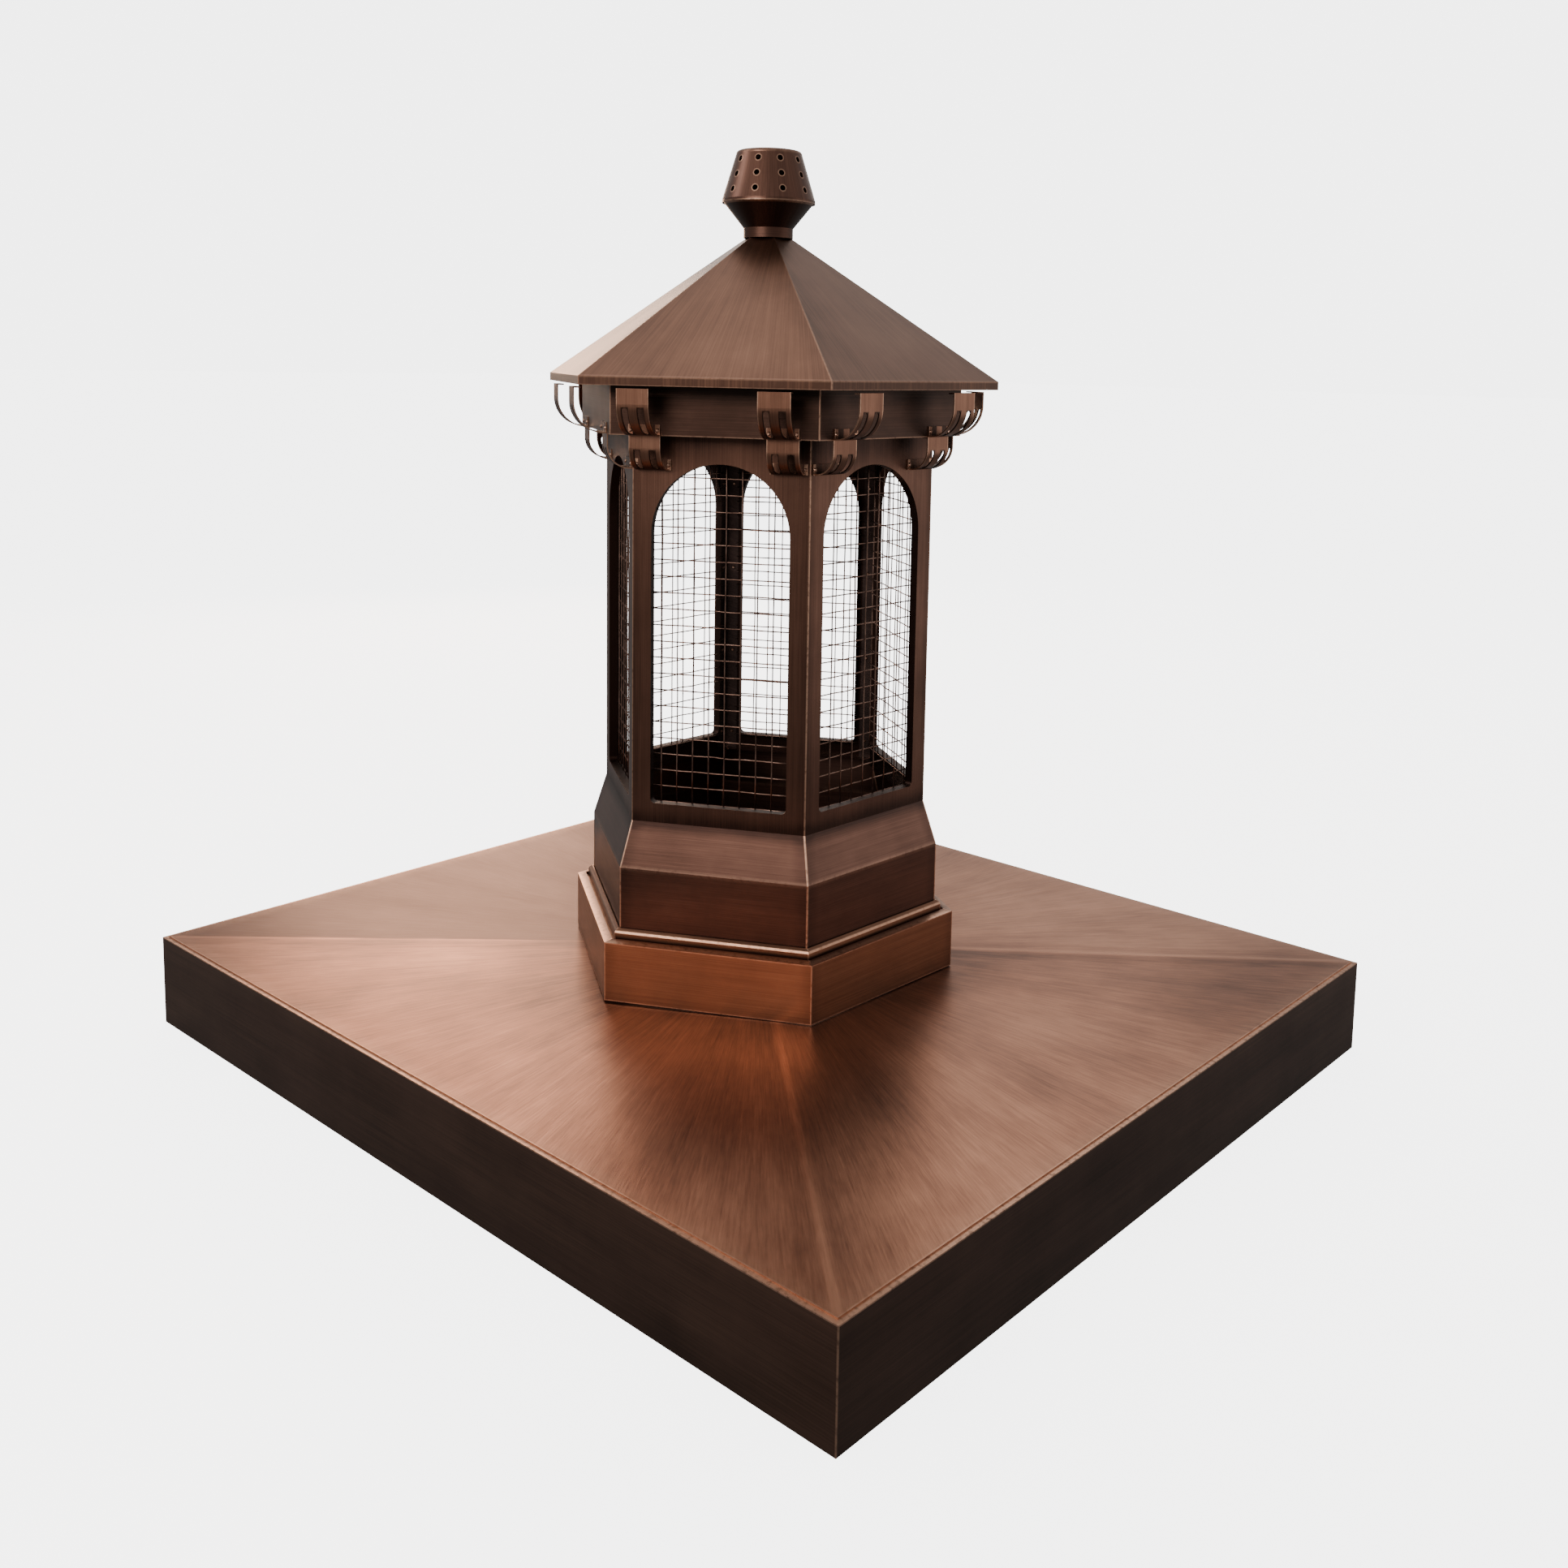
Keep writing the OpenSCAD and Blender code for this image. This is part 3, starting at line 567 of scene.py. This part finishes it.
dark = dark_copper()
bright = rivet_copper()
bracket = bracket_copper()
wire = wire_copper()
give(deck_copper(), "pan_deck")
give(skirt_copper("skirt_copper_long", True), "skirt_front", "skirt_back")
give(skirt_copper("skirt_copper_short", False), "skirt_left", "skirt_right")
give(plinth_copper(), "plinth_band")
give(moulding_copper(), "plinth_moulding")
give(drum_copper(), "drum_shell")
give(cage_copper(), *each("window_panel"))
give(frieze_copper(), "frieze_band")
give(bracket, *each("upper_brackets"), *each("lower_brackets"))
give(roof_copper(), *each("roof_panel"))
give(finial_copper(), "finial_bowl", "finial_shade")
give(neck_copper(), "neck_band", "neck_throat")
give(dark, "skirt_corner_angles", "deck_rib_left", "deck_rib_right", "flue_collar", "plinth_cleats",
     "cage_corner_angles", "roof_soffit")
give(bright, "cleat_screws", "cage_rivets", "upper_bracket_rivets", "lower_bracket_rivets")


# ---- round mesh wires ----

def tube(mesh, points, radius, ring=8):
    """A round wire through the points, closed at both ends."""
    direction = (points[-1] - points[0]).normalized()
    side = direction.orthogonal().normalized()
    other = direction.cross(side)
    loops = []
    for point in points:
        loops.append([
            mesh.verts.new(point + radius * (math.cos(a) * side + math.sin(a) * other))
            for a in (2 * math.pi * i / ring for i in range(ring))
        ])
    for first, second in zip(loops, loops[1:]):
        for i in range(ring):
            mesh.faces.new((first[i], first[(i + 1) % ring], second[(i + 1) % ring], second[i]))
    mesh.faces.new(reversed(loops[0]))
    mesh.faces.new(loops[-1])


def wavy(start, end, sway, normal, steps=9):
    """Points from start to end that wander a little to the sides, as hand-cut mesh does."""
    direction = (end - start).normalized()
    side = direction.cross(normal)
    points = []
    for i in range(steps + 1):
        ease = math.sin(math.pi * i / steps) ** 0.5
        points.append(start.lerp(end, i / steps) + ease * (side * random.gauss(0, sway) + normal * random.gauss(0, sway * 0.4)))
    return points


def wires(k):
    """Welded mesh behind window k: upright wires in front, level wires welded behind them."""
    low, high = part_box(f"mesh_{k}")
    around = Matrix.Rotation(TURN + SIXTH * (k - 1), 4, "Z")
    normal = Vector((1, 0, 0))
    face = CAGE_AP - SHEET - REVEAL - WIRE_R
    half = WINDOW_HW + MESH_OVERLAP
    across = int((half - MESH_SHIFT) / MESH_PITCH)
    first = low.z + MESH_OVERLAP - WIRE_R
    rows = int((high.z - first) / MESH_PITCH)
    mesh = bmesh.new()
    for i in range(-across, across + 1):
        y = i * MESH_PITCH + MESH_SHIFT
        tube(mesh, wavy(Vector((face, y, low.z)), Vector((face, y, high.z)), 0.25 * MM, normal), WIRE_R)
    for j in range(rows + 1):
        z = first + j * MESH_PITCH
        x = face - 1.7 * WIRE_R
        tube(mesh, wavy(Vector((x, -half, z)), Vector((x, half, z)), 0.25 * MM, normal), WIRE_R)
    mesh.transform(around)
    data = bpy.data.meshes.new(f"mesh_wires_{k}")
    mesh.to_mesh(data)
    mesh.free()
    for polygon in data.polygons:
        polygon.use_smooth = True
    data.materials.append(wire)
    piece = bpy.data.objects.new(f"mesh_wires_{k}", data)
    bpy.context.scene.collection.objects.link(piece)
    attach(piece, "base")
    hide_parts(f"mesh_{k}")


for k in range(1, SIDES + 1):
    wires(k)


# ---- stage, light and camera ----

def floor():
    data = bpy.data.meshes.new("studio_floor")
    reach = 60.0
    data.from_pydata([(-reach, -reach, 0), (reach, -reach, 0), (reach, reach, 0), (-reach, reach, 0)], [], [(0, 1, 2, 3)])
    data.materials.append(floor_paint())
    piece = bpy.data.objects.new("studio_floor", data)
    piece.location.z = -0.5 * MM
    piece.visible_glossy = False
    piece.visible_diffuse = False
    bpy.context.scene.collection.objects.link(piece)


def softbox(name, azimuth, elevation, distance, size, watts, colour, target=(0, 0, 0.5)):
    """A large soft area light that the camera doesn't see."""
    data = bpy.data.lights.new(name, "AREA")
    data.shape = "RECTANGLE"
    data.size, data.size_y = size
    data.energy = watts
    data.color = colour
    lamp = bpy.data.objects.new(name, data)
    a, e = math.radians(azimuth), math.radians(elevation)
    aim = Vector(target)
    lamp.location = aim + distance * Vector((math.cos(a) * math.cos(e), math.sin(a) * math.cos(e), math.sin(e)))
    lamp.rotation_euler = (aim - lamp.location).to_track_quat("-Z", "Y").to_euler()
    lamp.visible_camera = False
    bpy.context.scene.collection.objects.link(lamp)


def studio_world():
    """Even pale surroundings, seen brighter by the camera than they light the metal."""
    world = bpy.data.worlds.new("studio")
    world.use_nodes = True
    tree = world.node_tree
    tree.nodes.clear()
    out = tree.nodes.new("ShaderNodeOutputWorld")
    light = tree.nodes.new("ShaderNodeBackground")
    light.inputs[0].default_value = (1.0, 0.98, 0.96, 1)
    around = tree.nodes.new("ShaderNodeTexCoord")
    split = tree.nodes.new("ShaderNodeSeparateXYZ")
    tree.links.new(around.outputs["Generated"], split.inputs[0])
    height = tree.nodes.new("ShaderNodeMapRange")
    height.interpolation_type = "SMOOTHSTEP"
    for socket, number in zip(height.inputs[1:5], (-0.25, 0.45, 0.22, 0.55)):
        socket.default_value = number
    tree.links.new(split.outputs[2], height.inputs[0])
    tree.links.new(height.outputs[0], light.inputs[1])
    seen = tree.nodes.new("ShaderNodeBackground")
    seen.inputs[0].default_value = (1, 1, 1, 1)
    seen.inputs[1].default_value = 4.7
    path = tree.nodes.new("ShaderNodeLightPath")
    mix = tree.nodes.new("ShaderNodeMixShader")
    tree.links.new(path.outputs["Is Camera Ray"], mix.inputs[0])
    tree.links.new(light.outputs[0], mix.inputs[1])
    tree.links.new(seen.outputs[0], mix.inputs[2])
    tree.links.new(mix.outputs[0], out.inputs[0])
    bpy.context.scene.world = world


def camera():
    data = bpy.data.cameras.new("camera")
    data.sensor_width = 36
    data.lens = 34.75
    data.shift_x = -0.0328
    data.shift_y = -0.1498
    data.clip_start = 0.05
    data.clip_end = 200
    yaw, pitch, roll = (math.radians(v) for v in (131.32, 7.08, 1.10))
    ahead = Vector((math.cos(yaw) * math.cos(pitch), math.sin(yaw) * math.cos(pitch), -math.sin(pitch)))
    right = Vector((math.sin(yaw), -math.cos(yaw), 0))
    up = right.cross(ahead)
    tilted_right = math.cos(roll) * right + math.sin(roll) * up
    tilted_up = math.cos(roll) * up - math.sin(roll) * right
    piece = bpy.data.objects.new("camera", data)
    turned = Matrix((tilted_right, tilted_up, -ahead)).transposed().to_4x4()
    piece.matrix_world = Matrix.Translation((1.3667, -1.4133, 0.9118)) @ turned
    bpy.context.scene.collection.objects.link(piece)
    bpy.context.scene.camera = piece


floor()
studio_world()
softbox("back_softbox", 152, 12, 4.0, (1.3, 0.9), 35, (1.0, 0.64, 0.43))
softbox("rear_softbox", 132, 30, 4.0, (3.2, 1.5), 17, (1.0, 0.90, 0.80))
softbox("side_softbox", 44, 0, 3.2, (2.6, 1.5), 12, (1.0, 0.97, 0.94))
softbox("front_softbox", -82, 25, 3.6, (2.2, 1.2), 58, (1.0, 0.95, 0.90))
softbox("left_softbox", -140, 38, 3.6, (0.6, 1.4), 18, (1.0, 0.95, 0.90))
softbox("top_softbox", 165, 70, 3.4, (2.0, 2.0), 9, (1.0, 0.95, 0.90))
camera()
